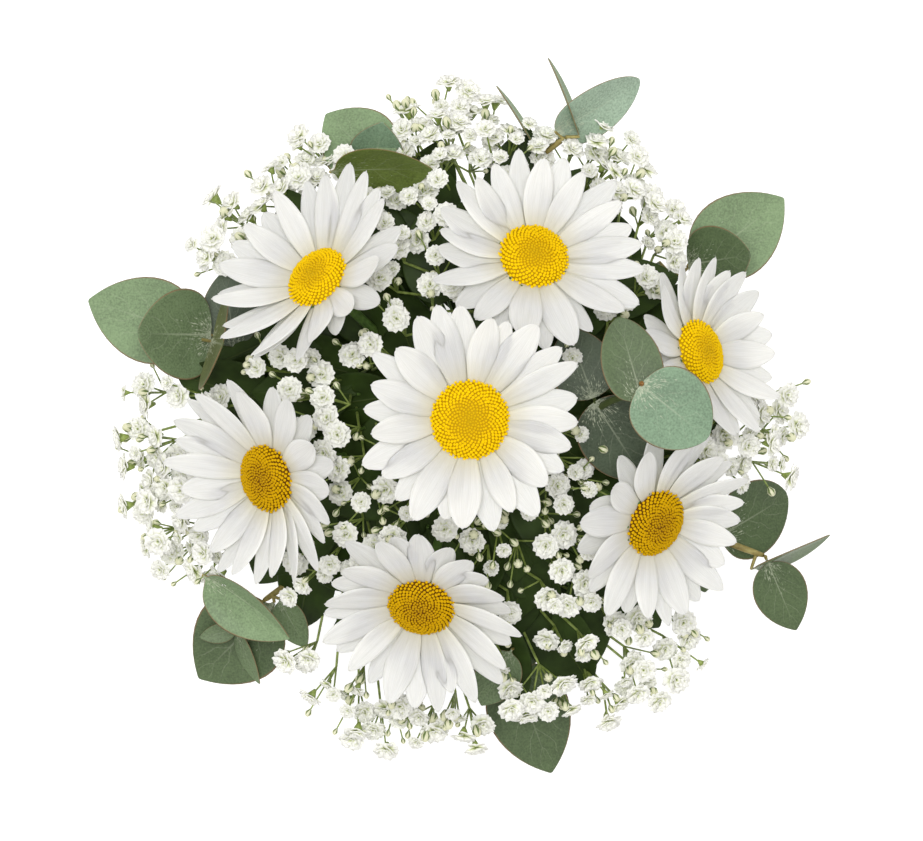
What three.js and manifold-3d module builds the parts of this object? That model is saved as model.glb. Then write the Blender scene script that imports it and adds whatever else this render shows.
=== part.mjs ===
// A hand-tied posy of seven daisies with eucalyptus and gypsophila, standing on its cut stems.
// Every stem leans round the axis, so the bunch crosses at its tie and spreads again below it
// into a foot that stands by itself. Millimetres and degrees; +Z is up, and the middle of the
// bunch's box is over the origin, with the cut ends at z = 0.
import * as THREE from "three";
import { mergeVertices } from "three/addons/utils/BufferGeometryUtils.js";
import Module from "manifold-3d";

const wasm = await Module();
wasm.setup();

// The whole bunch: the gap between touching pieces, the tie above the cut ends, the ray plane
// of the middle daisy above them, and the dome of flowers, which the middle daisy stands above
const CLEARANCE = 0.3;
const TIE_HEIGHT = 110;
const TOP_HEIGHT = 258;
const DOME_RADIUS = 78;
const CROWN = 6;

// A ring of stems: how far from the axis it passes the tie, how far it leans, the radius of a
// stem, the number of places in the ring and the azimuth of the first. Each stem is straight
// up to FREE_RISE above the tie, and CUT_SPARE is what the knife takes off its foot.
const FREE_RISE = 35;
const CUT_SPARE = 4;
const STEM_STEPS = 14;
const STEM_SIDES = 6;
const INNER_RING = { waist: 5.5, lean: 18, stem: 1.9, slots: 6, first: 15 };
const EUCALYPTUS_RING = { waist: 10.5, lean: 30, stem: 1.3, slots: 16, first: -5 };
const GYPSOPHILA_RING = { ...EUCALYPTUS_RING, stem: 1.1 };

// Daisies: each faces out from the dome at its own azimuth, reach from the axis and tilt, and
// its stem takes a slot of the inner ring. Rays is their number, ray and disc are radii.
const RAY_THICKNESS = 1.2;
const RAY_LIFT = 6;
const RAY_VALLEY = 0.76;
const DISC_HEIGHT = 6;
const DISC_OVERHANG = 1.2;
const DISC_RIM = 1.5;
const DISC_SHOULDER = 0.75;
const DISC_CROWN = 0.4;
const DISC_DIMPLE = 0.5;
const DISC_SEGMENTS = 14;
const CALYX_SEGMENTS = 12;
const CALYX_DEPTH = 9;
const CALYX_WAIST = 0.6;
const STRAIGHT_NECK = 30;
const DAISIES = [
  { name: "daisy_centre", azimuth: 0, reach: 0, tilt: 0, rays: 25, ray: 35.3, disc: 12.1 },
  { name: "daisy_top", azimuth: 68.6, reach: 55, tilt: 27, rays: 24, ray: 34, disc: 10.8, slot: 1 },
  { name: "daisy_top_left", azimuth: 137, reach: 65.5, tilt: 45, rays: 24, ray: 35.5, disc: 10.4, slot: 2 },
  { name: "daisy_right", azimuth: 16.5, reach: 76.5, tilt: 49, rays: 22, ray: 31, disc: 10.2, slot: 0 },
  { name: "daisy_low_right", azimuth: -29, reach: 67, tilt: 42, rays: 23, ray: 31.5, disc: 10.7, slot: 5 },
  { name: "daisy_bottom", azimuth: -104.5, reach: 60.5, tilt: 36, rays: 24, ray: 34, disc: 10.4, slot: 4 },
  { name: "daisy_left", azimuth: -164, reach: 66.5, tilt: 42, rays: 24, ray: 34.5, disc: 10.6, slot: 3 },
];

// Eucalyptus sprigs. A place is [x, y, depth below the dome]; a sprig goes through the lead-in
// place or its own via, then its nodes. A leaf grows from one of the nodes, and its heading,
// pitch and roll turn the blade about that node.
const LEAD_IN_RUN = 14;
const LEAD_IN_RISE = 7;
const LEAF_THICKNESS = 0.6;
const LEAF_CUP = 2.5;
const LEAF_STALK = 2;
const LEAF_STATIONS = 6;
const LEAF_FULLNESS = 0.8;
const SPRIGS = [
  {
    name: "eucalyptus_left",
    slot: 8,
    nodes: [[-83.5, 24.8, 29], [-92.5, 27.6, 15]],
    leaves: [
      { name: "edge", node: 0, heading: 342, pitch: 78, roll: 0, length: 24, width: 31 },
      { name: "under", node: 0, heading: 288, pitch: -2, roll: -16, length: 25, width: 24 },
      { name: "round", node: 1, heading: 180, pitch: 42, roll: 0, length: 28, width: 31 },
      { name: "outer", node: 1, heading: 162, pitch: -6, roll: 0, length: 37, width: 28 },
    ],
  },
  {
    name: "eucalyptus_top_left",
    slot: 6,
    nodes: [[-27.4, 77.5, 28], [-29, 84.5, 19]],
    leaves: [
      { name: "front", node: 0, heading: 97, pitch: 71, roll: 0, length: 25, width: 32 },
      { name: "outer", node: 1, heading: 137, pitch: -10, roll: 0, length: 27, width: 25 },
    ],
  },
  {
    name: "eucalyptus_top",
    slot: 4,
    nodes: [[20.5, 89, 12], [32, 93.8, -3]],
    leaves: [
      { name: "short", node: 0, heading: 118, pitch: 5, roll: 82, length: 24, width: 13 },
      { name: "tall", node: 1, heading: 105, pitch: 5, roll: 82, length: 27, width: 15 },
      { name: "broad", node: 1, heading: 32, pitch: -5, roll: 40, length: 30, width: 21 },
    ],
  },
  {
    name: "eucalyptus_top_right",
    slot: 2,
    nodes: [[66, 47, 41], [74.5, 52, 26]],
    leaves: [
      { name: "round", node: 1, heading: 8, pitch: 38, roll: 0, length: 24, width: 24 },
      { name: "outer", node: 1, heading: 35, pitch: -5, roll: 0, length: 40, width: 29 },
    ],
  },
  {
    name: "eucalyptus_inner",
    slot: 1,
    via: [33, -4, 62],
    nodes: [[41.6, 4.8, 17], [54.6, 9.5, -16]],
    leaves: [
      { name: "back", node: 0, heading: 110, pitch: -5, roll: 0, length: 24, width: 20 },
      { name: "low", node: 0, heading: 304, pitch: -14, roll: 0, length: 28, width: 24 },
      { name: "upper", node: 1, heading: 98, pitch: -4, roll: 0, length: 24, width: 20 },
      { name: "near", node: 1, heading: 329, pitch: -9, roll: 0, length: 26, width: 24 },
    ],
  },
  {
    name: "eucalyptus_right",
    slot: 15,
    nodes: [[83, -40, 24], [99.9, -46, 1]],
    leaves: [
      { name: "back", node: 0, heading: 27, pitch: -20, roll: 20, length: 30, width: 26 },
      { name: "edge", node: 1, heading: 16, pitch: 4, roll: 76, length: 22, width: 20 },
      { name: "hanging", node: 1, heading: 294, pitch: -12, roll: 0, length: 27, width: 18.5 },
    ],
  },
  {
    name: "eucalyptus_bottom",
    slot: 13,
    nodes: [[21, -56, 57], [15.5, -80, 37]],
    leaves: [
      { name: "back", node: 0, heading: 330, pitch: 2, roll: 0, length: 24, width: 22 },
      { name: "outer", node: 1, heading: 290, pitch: -5, roll: 0, length: 41, width: 28 },
    ],
  },
  {
    name: "eucalyptus_bottom_left",
    slot: 10,
    nodes: [[-63, -57.5, 31], [-69.5, -61, 17]],
    leaves: [
      { name: "outer", node: 0, heading: 222, pitch: -8, roll: 0, length: 38, width: 32 },
      { name: "rolled", node: 1, heading: 235, pitch: 62, roll: 0, length: 25, width: 33 },
    ],
  },
];

// Gypsophila: each spray forks under the dome, and its florets fill a part of the dome's
// shell between two azimuths and two reaches. Depths are below the dome.
const FLORET_RADIUS = 4.3;
const TWIG_RADIUS = 0.6;
const FLORETS = 8;
const FLORET_SPACING = 1;
const FLORET_TRIES = 900;
const TWIG_CHECKS = 40;
const KEEP_OUT_SAMPLES = 60;
const SCATTER = [0.8192, 0.671, 0.5497];
const FORK_REACH = 42;
const FORK_DEPTH = 79;
const FLORET_DEPTH_AT_AXIS = 30;
const FLORET_RISE = 0.38;
const LAYER_DEPTH = 16;
const SPRAYS = [
  { name: "gypsophila_right", azimuth: -6, spread: 15, near: 84, far: 106, slot: 0 },
  { name: "gypsophila_top_right", azimuth: 52, spread: 14, near: 50, far: 98, slot: 3 },
  { name: "gypsophila_top", azimuth: 97, spread: 14, near: 46, far: 104, slot: 5 },
  { name: "gypsophila_top_left", azimuth: 137, spread: 18, near: 86, far: 110, slot: 7 },
  { name: "gypsophila_left", azimuth: 184, spread: 17, near: 76, far: 112, slot: 9 },
  { name: "gypsophila_low_left", azimuth: 242, spread: 14, near: 56, far: 108, slot: 11 },
  { name: "gypsophila_bottom", azimuth: 262, spread: 14, near: 84, far: 106, slot: 12 },
  { name: "gypsophila_low_right", azimuth: 309, spread: 16, near: 44, far: 110, slot: 14 },
];

// The tie: turns of twine wound side by side round the stems where they cross, and a knot
const TWINE_RADIUS = 1.3;
const TWINE_TURNS = 5;
const TIE_SEGMENTS = 18;
const KNOT_RADIUS = 2.8;

const DAISY_STEM = { color: 0x6f8f45, roughness: 0.6 };
const DISC = { color: 0xe8ab0c, roughness: 0.8 };
const RAY = { color: 0xf7f6f2, roughness: 0.55 };
const TWIG = { color: 0xa08a55, roughness: 0.6 };
const LEAF = { color: 0x6f9473, roughness: 0.6 };
const GYPSOPHILA = { color: 0xe9ecd8, roughness: 0.6 };
const TWINE = { color: 0xb08a55, roughness: 0.9 };

const rad = THREE.MathUtils.degToRad;
const UP = new THREE.Vector3(0, 0, 1);
const posy = new THREE.Group();

// Meshes and solids

function addMesh(name, geometry, finish) {
  const mesh = new THREE.Mesh(geometry, new THREE.MeshStandardMaterial({ ...finish, metalness: 0 }));
  mesh.name = name;
  posy.add(mesh);
}

function solidOf(geometry) {
  const bare = geometry.clone();
  bare.deleteAttribute("normal");
  bare.deleteAttribute("uv");
  const merged = mergeVertices(bare, 1e-3);
  const triVerts = new Uint32Array(merged.index.array);
  const vertProperties = new Float32Array(merged.attributes.position.array);
  return new wasm.Manifold(new wasm.Mesh({ numProp: 3, vertProperties, triVerts }));
}

function geometryOf(solid) {
  const mesh = solid.getMesh();
  const geometry = new THREE.BufferGeometry();
  geometry.setAttribute("position", new THREE.BufferAttribute(new Float32Array(mesh.vertProperties), 3));
  geometry.setIndex(new THREE.BufferAttribute(new Uint32Array(mesh.triVerts), 1));
  geometry.computeVertexNormals();
  return geometry;
}

function joined(geometries) {
  return geometries.map(solidOf).reduce((whole, piece) => whole.add(piece));
}

// A point from its turn about the axis, its distance from the axis and its height.
function polar(azimuth, reach, height) {
  const turn = rad(azimuth);
  return new THREE.Vector3(reach * Math.cos(turn), reach * Math.sin(turn), height);
}

// The dome that the flowers face out from curves by DOME_RADIUS at its crown, and the daisy in
// the middle stands CROWN above it.
function domeHeight(reach) {
  return TOP_HEIGHT - CROWN - reach ** 2 / (2 * DOME_RADIUS);
}

function underDome([x, y, depth]) {
  return new THREE.Vector3(x, y, domeHeight(Math.hypot(x, y)) - depth);
}

// Stems

// A stem below its flower is a straight line that leans round the axis. It passes the tie at
// the ring's own radius and is over its slot of the ring where it is FREE_RISE above the tie.
function spiralPoint(ring, slot, height) {
  const slope = Math.tan(rad(ring.lean));
  const slotAzimuth = ring.first + (360 / ring.slots) * slot;
  const turn = rad(slotAzimuth) - Math.atan2(FREE_RISE * slope, ring.waist);
  const point = new THREE.Vector3(ring.waist, (height - TIE_HEIGHT) * slope, height);
  return point.applyAxisAngle(UP, turn);
}

function spiralStart(ring, slot) {
  const heights = [-CUT_SPARE, TIE_HEIGHT / 2, TIE_HEIGHT, TIE_HEIGHT + FREE_RISE];
  return heights.map((height) => spiralPoint(ring, slot, height));
}

function tube(points, radius) {
  const path = new THREE.CatmullRomCurve3(points, false, "centripetal");
  const section = new THREE.Shape().absarc(0, 0, radius, 0, 2 * Math.PI);
  return new THREE.ExtrudeGeometry(section, {
    steps: STEM_STEPS,
    curveSegments: STEM_SIDES / 2,
    bevelEnabled: false,
    extrudePath: path,
  });
}

// The knife's cut: everything below z = 0 is off, so each stem ends in a flat face.
const offcutWidth = 2 * TOP_HEIGHT;
const offcutDepth = 5 * CUT_SPARE;
const offcutBox = new THREE.BoxGeometry(offcutWidth, offcutWidth, offcutDepth);
const offcut = solidOf(offcutBox.translate(0, 0, -offcutDepth / 2));

function addStem(name, solid, finish) {
  addMesh(name, geometryOf(solid.subtract(offcut)), finish);
}

// Keep-out shapes: what a gypsophila floret and its twig have to miss
const keepOuts = [];

function keepOutDisc(centre, normal, radius, from, to) {
  keepOuts.push((point, spare) => {
    const offset = point.clone().sub(centre);
    const axial = offset.dot(normal);
    const radial = Math.sqrt(Math.max(0, offset.lengthSq() - axial ** 2));
    return radial < radius + spare && axial > from - spare && axial < to + spare;
  });
}

function keepOutTube(points, radius) {
  const path = new THREE.CatmullRomCurve3(points, false, "centripetal");
  const samples = path.getSpacedPoints(KEEP_OUT_SAMPLES);
  keepOuts.push((point, spare) => samples.some((sample) => sample.distanceTo(point) < radius + spare));
}

// Daisies

// Ray florets as one toothed sheet round a hole, cupped by RAY_LIFT at its tips. Each ray is
// three steps of the turn: a valley beside it, then the two corners of its blunt tip.
function rayRing({ rays, ray, disc }) {
  const hole = disc - DISC_OVERHANG + CLEARANCE;
  const profile = [[hole, 0], [ray, 0], [ray, RAY_THICKNESS], [hole, RAY_THICKNESS], [hole, 0]];
  const geometry = turned(profile, 3 * rays);
  const position = geometry.attributes.position;
  const step = (2 * Math.PI) / (3 * rays);
  for (let i = 0; i < position.count; i++) {
    const reach = Math.hypot(position.getX(i), position.getY(i));
    if (reach < (hole + ray) / 2) continue;
    const turn = Math.atan2(position.getY(i), position.getX(i));
    const isValley = Math.round(turn / step) % 3 === 0;
    const share = isValley ? RAY_VALLEY : 1;
    position.setX(i, position.getX(i) * share);
    position.setY(i, position.getY(i) * share);
    position.setZ(i, position.getZ(i) + RAY_LIFT * share);
  }
  return geometry;
}

function turned(profile, segments) {
  const points = profile.map(([radius, height]) => new THREE.Vector2(radius, height));
  return new THREE.LatheGeometry(points, segments).rotateX(Math.PI / 2);
}

// The disc's plug fills the hole of the rays, and its dome overhangs them.
function discDome({ disc }) {
  const plug = disc - DISC_OVERHANG;
  const brim = RAY_THICKNESS + 4 * CLEARANCE;
  return turned(
    [
      [0, 0],
      [plug, 0],
      [plug, brim],
      [disc, brim],
      [disc, brim + DISC_RIM],
      [disc * DISC_SHOULDER, DISC_HEIGHT - 2 * DISC_DIMPLE],
      [disc * DISC_CROWN, DISC_HEIGHT],
      [0, DISC_HEIGHT - DISC_DIMPLE],
    ],
    DISC_SEGMENTS,
  );
}

function calyx({ disc }) {
  return turned(
    [
      [0, -CALYX_DEPTH],
      [INNER_RING.stem, -CALYX_DEPTH],
      [disc * CALYX_WAIST, -CALYX_DEPTH * CALYX_WAIST],
      [disc - DISC_OVERHANG, -CLEARANCE],
      [0, -CLEARANCE],
    ],
    CALYX_SEGMENTS,
  );
}

for (const daisy of DAISIES) {
  const height = daisy.reach === 0 ? TOP_HEIGHT : domeHeight(daisy.reach);
  const centre = polar(daisy.azimuth, daisy.reach, height);
  const normal = polar(daisy.azimuth, Math.sin(rad(daisy.tilt)), Math.cos(rad(daisy.tilt)));
  const pose = new THREE.Matrix4().makeRotationFromQuaternion(
    new THREE.Quaternion().setFromUnitVectors(UP, normal),
  );
  pose.setPosition(centre);

  const foot =
    daisy.slot === undefined
      ? [new THREE.Vector3(0, 0, -CUT_SPARE), new THREE.Vector3(0, 0, TIE_HEIGHT)]
      : spiralStart(INNER_RING, daisy.slot);
  const under = (depth) => centre.clone().addScaledVector(normal, -depth);
  const points = [...foot, under(CALYX_DEPTH + STRAIGHT_NECK), under(CALYX_DEPTH), under(CALYX_DEPTH / 2)];
  const stem = joined([tube(points, INNER_RING.stem), calyx(daisy).applyMatrix4(pose)]);
  addStem(daisy.name + "_stem", stem, DAISY_STEM);
  addMesh(daisy.name + "_disc", discDome(daisy).applyMatrix4(pose), DISC);
  addMesh(daisy.name + "_rays", rayRing(daisy).applyMatrix4(pose), RAY);

  keepOutDisc(centre, normal, daisy.ray, -CALYX_DEPTH / 2, RAY_LIFT + RAY_THICKNESS);
  keepOutTube(points, INNER_RING.stem);
}

// Eucalyptus

// A blade along +X from the end of its stalk, widest before its middle, with raised edges.
function leafBlade({ length, width }) {
  const side = [[LEAF_STALK, LEAF_THICKNESS]];
  for (let i = 1; i < LEAF_STATIONS; i++) {
    const along = i / LEAF_STATIONS;
    const out = (width / 2) * Math.sin(Math.PI * along ** LEAF_FULLNESS);
    side.push([LEAF_STALK + (length - LEAF_STALK) * along, out]);
  }
  const upper = side.map(([x, y]) => new THREE.Vector2(x, y)).reverse();
  const lower = side.map(([x, y]) => new THREE.Vector2(x, -y));
  const stalkEnd = new THREE.Vector2(0, 0);
  const tip = new THREE.Vector2(length, 0);
  const outline = new THREE.Shape([stalkEnd, ...lower, tip, ...upper]);
  const geometry = new THREE.ExtrudeGeometry(outline, { depth: LEAF_THICKNESS, bevelEnabled: false });
  const position = geometry.attributes.position;
  for (let i = 0; i < position.count; i++) {
    const across = position.getY(i) / (width / 2);
    position.setZ(i, position.getZ(i) - LEAF_THICKNESS / 2 + LEAF_CUP * across ** 2);
  }
  return geometry;
}

// Where a sprig comes from just before its first node: towards the axis, and lower.
function leadIn(node) {
  const inward = new THREE.Vector3(-node.x, -node.y, 0).setLength(LEAD_IN_RUN);
  return node.clone().add(inward).setZ(node.z - LEAD_IN_RISE);
}

for (const sprig of SPRIGS) {
  const nodes = sprig.nodes.map(underDome);
  const approach = sprig.via ? underDome(sprig.via) : leadIn(nodes[0]);
  const points = [...spiralStart(EUCALYPTUS_RING, sprig.slot), approach, ...nodes];
  addStem(sprig.name + "_stem", solidOf(tube(points, EUCALYPTUS_RING.stem)), TWIG);
  keepOutTube(points, EUCALYPTUS_RING.stem);
  for (const leaf of sprig.leaves) {
    const attitude = new THREE.Matrix4()
      .makeRotationZ(rad(leaf.heading))
      .multiply(new THREE.Matrix4().makeRotationY(-rad(leaf.pitch)))
      .multiply(new THREE.Matrix4().makeRotationX(rad(leaf.roll)));
    const along = new THREE.Vector3(1, 0, 0).applyMatrix4(attitude);
    const normal = UP.clone().applyMatrix4(attitude);
    const base = nodes[leaf.node].clone().addScaledVector(along, EUCALYPTUS_RING.stem + 2 * CLEARANCE);
    attitude.setPosition(base);
    addMesh(sprig.name + "_leaf_" + leaf.name, leafBlade(leaf).applyMatrix4(attitude), LEAF);
    const middle = base.clone().addScaledVector(along, leaf.length / 2);
    const halfSpan = Math.max(leaf.length, leaf.width) / 2;
    keepOutDisc(middle, normal, halfSpan, -LEAF_THICKNESS, LEAF_CUP + LEAF_THICKNESS);
  }
}

// Gypsophila

function isFree(point, spare) {
  return !keepOuts.some((blocks) => blocks(point, spare));
}

function twigIsFree(from, to) {
  for (let i = 1; i <= TWIG_CHECKS; i++) {
    const point = from.clone().lerp(to, i / TWIG_CHECKS);
    if (!isFree(point, TWIG_RADIUS + CLEARANCE)) return false;
  }
  return true;
}

// Evenly scattered places in the spray's part of the shell that it can reach with a straight twig.
function floretPlaces(spray, fork) {
  const places = [];
  for (let i = 1; i <= FLORET_TRIES && places.length < FLORETS; i++) {
    const [across, out, down] = SCATTER.map((stride) => (i * stride) % 1);
    const azimuth = spray.azimuth + spray.spread * (2 * across - 1);
    const reach = spray.near + (spray.far - spray.near) * out;
    const depth = FLORET_DEPTH_AT_AXIS - FLORET_RISE * reach + LAYER_DEPTH * down;
    const place = polar(azimuth, reach, domeHeight(reach) - depth);
    if (!isFree(place, FLORET_RADIUS + CLEARANCE) || !twigIsFree(fork, place)) continue;
    places.push(place);
    const halfHeight = FLORET_RADIUS + FLORET_SPACING;
    keepOutDisc(place, UP, FLORET_RADIUS, -halfHeight, halfHeight);
  }
  return places;
}

function twig(from, to) {
  const along = to.clone().sub(from);
  const geometry = new THREE.CylinderGeometry(TWIG_RADIUS, TWIG_RADIUS, along.length(), 3);
  geometry.rotateX(Math.PI / 2).translate(0, 0, along.length() / 2);
  geometry.applyQuaternion(new THREE.Quaternion().setFromUnitVectors(UP, along.normalize()));
  return geometry.translate(from.x, from.y, from.z);
}

for (const spray of SPRAYS) {
  const fork = polar(spray.azimuth, FORK_REACH, domeHeight(FORK_REACH) - FORK_DEPTH);
  const points = [...spiralStart(GYPSOPHILA_RING, spray.slot), fork];
  const pieces = [tube(points, GYPSOPHILA_RING.stem)];
  for (const place of floretPlaces(spray, fork)) {
    const floret = new THREE.IcosahedronGeometry(FLORET_RADIUS, 0);
    pieces.push(floret.translate(place.x, place.y, place.z), twig(fork, place));
  }
  addStem(spray.name, joined(pieces), GYPSOPHILA);
}

// Tie

// The ring's inside clears the stems where they lean out at its upper and lower edges.
function tieRing() {
  const halfHeight = TWINE_TURNS * TWINE_RADIUS;
  const spread = halfHeight * Math.tan(rad(EUCALYPTUS_RING.lean));
  const inner = Math.hypot(EUCALYPTUS_RING.waist + EUCALYPTUS_RING.stem, spread) + CLEARANCE;
  const groove = inner + TWINE_RADIUS;
  const crest = inner + 2 * TWINE_RADIUS;
  const profile = [[inner, -halfHeight]];
  for (let turn = 0; turn < TWINE_TURNS; turn++) {
    const middle = (2 * turn + 1) * TWINE_RADIUS - halfHeight;
    profile.push([crest, middle - TWINE_RADIUS / 2], [crest, middle + TWINE_RADIUS / 2]);
    if (turn < TWINE_TURNS - 1) profile.push([groove, middle + TWINE_RADIUS]);
  }
  profile.push([inner, halfHeight], [inner, -halfHeight]);
  const ring = turned(profile, TIE_SEGMENTS).translate(0, 0, TIE_HEIGHT);
  const knot = new THREE.IcosahedronGeometry(KNOT_RADIUS, 1).translate(crest, 0, TIE_HEIGHT);
  return joined([ring, knot]);
}

addMesh("tie", geometryOf(tieRing()), TWINE);

// The middle of the bunch's box goes over the origin.
const box = new THREE.Box3().setFromObject(posy);
const middle = box.getCenter(new THREE.Vector3());
posy.position.set(-middle.x, -middle.y, 0);

export default posy;
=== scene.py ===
from math import atan2, cos, pi, radians, sin, sqrt, tau
from random import Random

import bmesh
import bpy
from mathutils import Matrix, Vector
from mathutils.geometry import intersect_point_line


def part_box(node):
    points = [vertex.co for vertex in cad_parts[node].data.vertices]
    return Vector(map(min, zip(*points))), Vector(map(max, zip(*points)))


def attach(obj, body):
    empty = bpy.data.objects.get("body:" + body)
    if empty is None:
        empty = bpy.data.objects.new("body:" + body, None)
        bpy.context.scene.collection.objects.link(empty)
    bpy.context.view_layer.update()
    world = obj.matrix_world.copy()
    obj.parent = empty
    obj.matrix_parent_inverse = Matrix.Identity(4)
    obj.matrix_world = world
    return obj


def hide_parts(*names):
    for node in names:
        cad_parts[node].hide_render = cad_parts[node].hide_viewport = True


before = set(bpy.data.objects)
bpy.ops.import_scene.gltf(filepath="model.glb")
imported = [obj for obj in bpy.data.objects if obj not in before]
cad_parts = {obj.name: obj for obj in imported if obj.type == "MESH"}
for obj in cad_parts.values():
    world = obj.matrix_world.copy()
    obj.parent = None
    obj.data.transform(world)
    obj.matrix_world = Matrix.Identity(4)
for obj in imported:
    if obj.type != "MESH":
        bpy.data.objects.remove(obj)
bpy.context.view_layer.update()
MM = 0.001


# Daisy stems
# Each daisy stands on a round green stem, tied with the others where they cross. The stem
# widens under the flower into a cup of small overlapping bracts.

# Azimuth and tilt in degrees; rays; reach and disc radius in millimetres; how far the upper
# petals flop back; whether the disc is ripe and so darker
DAISIES = {
    "daisy_centre": (0, 0, 27, 37, 12.1, 0, False),
    "daisy_top": (68.6, 27, 25, 36, 10.8, 12, False),
    "daisy_top_left": (137, 45, 25, 37, 10.4, 7, False),
    "daisy_right": (16.5, 49, 24, 31.5, 10.2, 17, False),
    "daisy_low_right": (-29, 42, 25, 33.5, 10.7, 17, True),
    "daisy_bottom": (-104.5, 36, 26, 35, 10.4, 5, True),
    "daisy_left": (-164, 42, 25, 36.5, 10.6, 9, True),
}
SIZE_NAMES = ("azimuth", "tilt", "rays", "reach", "disc", "flop", "ripe")
DAISIES = {name: dict(zip(SIZE_NAMES, sizes)) for name, sizes in DAISIES.items()}
BRACT_OUTLINE = [(0, 0.7), (0.35, 1), (0.7, 0.8), (1, 0.15)]
# Each row of bracts: how far out, how far below the disc and how upright, on a middling disc
BRACT_ROWS = [(3.2, 6.6, 50), (5.6, 4.4, 58), (8.6, 1.6, 66)]
BRACTS_IN_ROW = 16
BRACT_DISC = 10.5
BRACT_LENGTH = 4.6 * MM
BRACT_WIDTH = 2.4 * MM
BRACT_THICKNESS = 0.3 * MM
BRACT_CREASE = [(0, 0.15)]
BRACT_CURL = 30
WELD = 0.01 * MM
CUT_END = 0.1 * MM


class Value:
    """A number that varies over a surface; sums on it become Math nodes of its finish."""

    def __init__(self, finish, socket):
        self.finish = finish
        self.socket = socket

    def __add__(self, other):
        return self.finish.maths("ADD", self, other)

    def __sub__(self, other):
        return self.finish.maths("SUBTRACT", self, other)

    def __rsub__(self, other):
        return self.finish.maths("SUBTRACT", other, self)

    def __mul__(self, other):
        return self.finish.maths("MULTIPLY", self, other)

    def __abs__(self):
        return self.finish.maths("ABSOLUTE", self)

    __radd__ = __add__
    __rmul__ = __mul__


class Finish:
    """A material, with its roughness and the constants of its shader set from the start."""

    def __init__(self, name, roughness, **constants):
        self.material = bpy.data.materials.new(name)
        self.material.use_nodes = True
        self.tree = self.material.node_tree
        self.shader = self.tree.nodes["Principled BSDF"].inputs
        self.shader["Roughness"].default_value = roughness
        for socket, value in constants.items():
            self.shader[socket.replace("_", " ")].default_value = value

    def node(self, kind, settings, sockets, result=0):
        made = self.tree.nodes.new("ShaderNode" + kind)
        for setting, value in settings.items():
            if setting == "stops":
                while len(made.color_ramp.elements) < len(value):
                    made.color_ramp.elements.new(1)
                for element, (position, colour) in zip(made.color_ramp.elements, value):
                    element.position = position
                    element.color = (*colour, 1)
            else:
                setattr(made, setting, value)
        for socket, value in sockets.items():
            self.feed(made.inputs[socket], value)
        return Value(self, made.outputs[result])

    def feed(self, socket, value):
        if isinstance(value, Value):
            self.tree.links.new(value.socket, socket)
        else:
            socket.default_value = value

    def maths(self, operation, *values):
        return self.node("Math", {"operation": operation}, dict(enumerate(values)))

    def step(self, value, start, end):
        """0 below start, 1 above end and smooth between them."""
        limits = {"Value": value, "From Min": start, "From Max": end}
        return self.node("MapRange", {"interpolation_type": "SMOOTHSTEP"}, limits)

    def place(self):
        return self.node("TexCoord", {}, {}, "Object")

    def along_and_across(self):
        """How far along its blade and across it a point is, each from 0 to 1."""
        spot = self.node("TexCoord", {}, {}, "UV")
        return (
            self.node("SeparateXYZ", {}, {0: spot}, "X"),
            self.node("SeparateXYZ", {}, {0: spot}, "Y"),
        )

    def mottle(self, spot, scale, detail=2):
        sockets = {"Vector": spot, "Scale": scale, "Detail": detail}
        return self.node("TexNoise", {}, sockets, "Fac")

    def colours(self, value, *stops):
        return self.node("ValToRGB", {"stops": stops}, {"Fac": value})

    def over(self, share, under, upper):
        """The upper colour laid over the under one by that share."""
        return self.node("Mix", {"data_type": "RGBA"}, {0: share, 6: under, 7: upper}, 2)

    def raised(self, height, strength, distance):
        sockets = {"Height": height, "Strength": strength, "Distance": distance}
        self.feed(self.shader["Normal"], self.node("Bump", {}, sockets))


def stem_finish():
    green = Finish("green_stem", 0.5, Specular_IOR_Level=0.4)
    spot = green.place()
    stretched = green.node("Mapping", {}, {"Vector": spot, "Scale": (1, 1, 0.06)})
    ribs = green.mottle(stretched, 900)
    patches = green.mottle(spot, 60)
    colour = green.colours(
        ribs * 0.5 + patches * 0.5,
        (0.3, (0.035, 0.075, 0.012)),
        (0.5, (0.075, 0.14, 0.025)),
        (0.7, (0.14, 0.22, 0.05)),
    )
    green.feed(green.shader["Base Color"], colour)
    green.raised(ribs, 0.5, 0.3 * MM)
    return green.material


def alone(*pieces):
    """Leaves only these pieces selected, with the first of them active."""
    bpy.ops.object.select_all(action="DESELECT")
    for piece in pieces:
        piece.select_set(True)
    bpy.context.view_layer.objects.active = pieces[0]


def discard(*pieces):
    for piece in pieces:
        bpy.data.objects.remove(piece)


def pick(test):
    """In the open editor, selects the points whose places pass the test and no others."""
    bpy.ops.mesh.select_all(action="DESELECT")
    mesh = bpy.context.object.data
    net = bmesh.from_edit_mesh(mesh)
    for point in net.verts:
        point.select = test(point.co)
    net.select_flush(True)
    bmesh.update_edit_mesh(mesh)


def finished(piece, *modifiers):
    """Applies modifiers to a piece, each given as its type and its settings."""
    alone(piece)
    for kind, settings in modifiers:
        modifier = piece.modifiers.new(kind, kind)
        for setting, value in settings.items():
            setattr(modifier, setting, value)
        bpy.ops.object.modifier_apply(modifier=modifier.name)
    return piece


def smoothing(levels):
    return "SUBSURF", {"levels": levels, "render_levels": levels}


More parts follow.
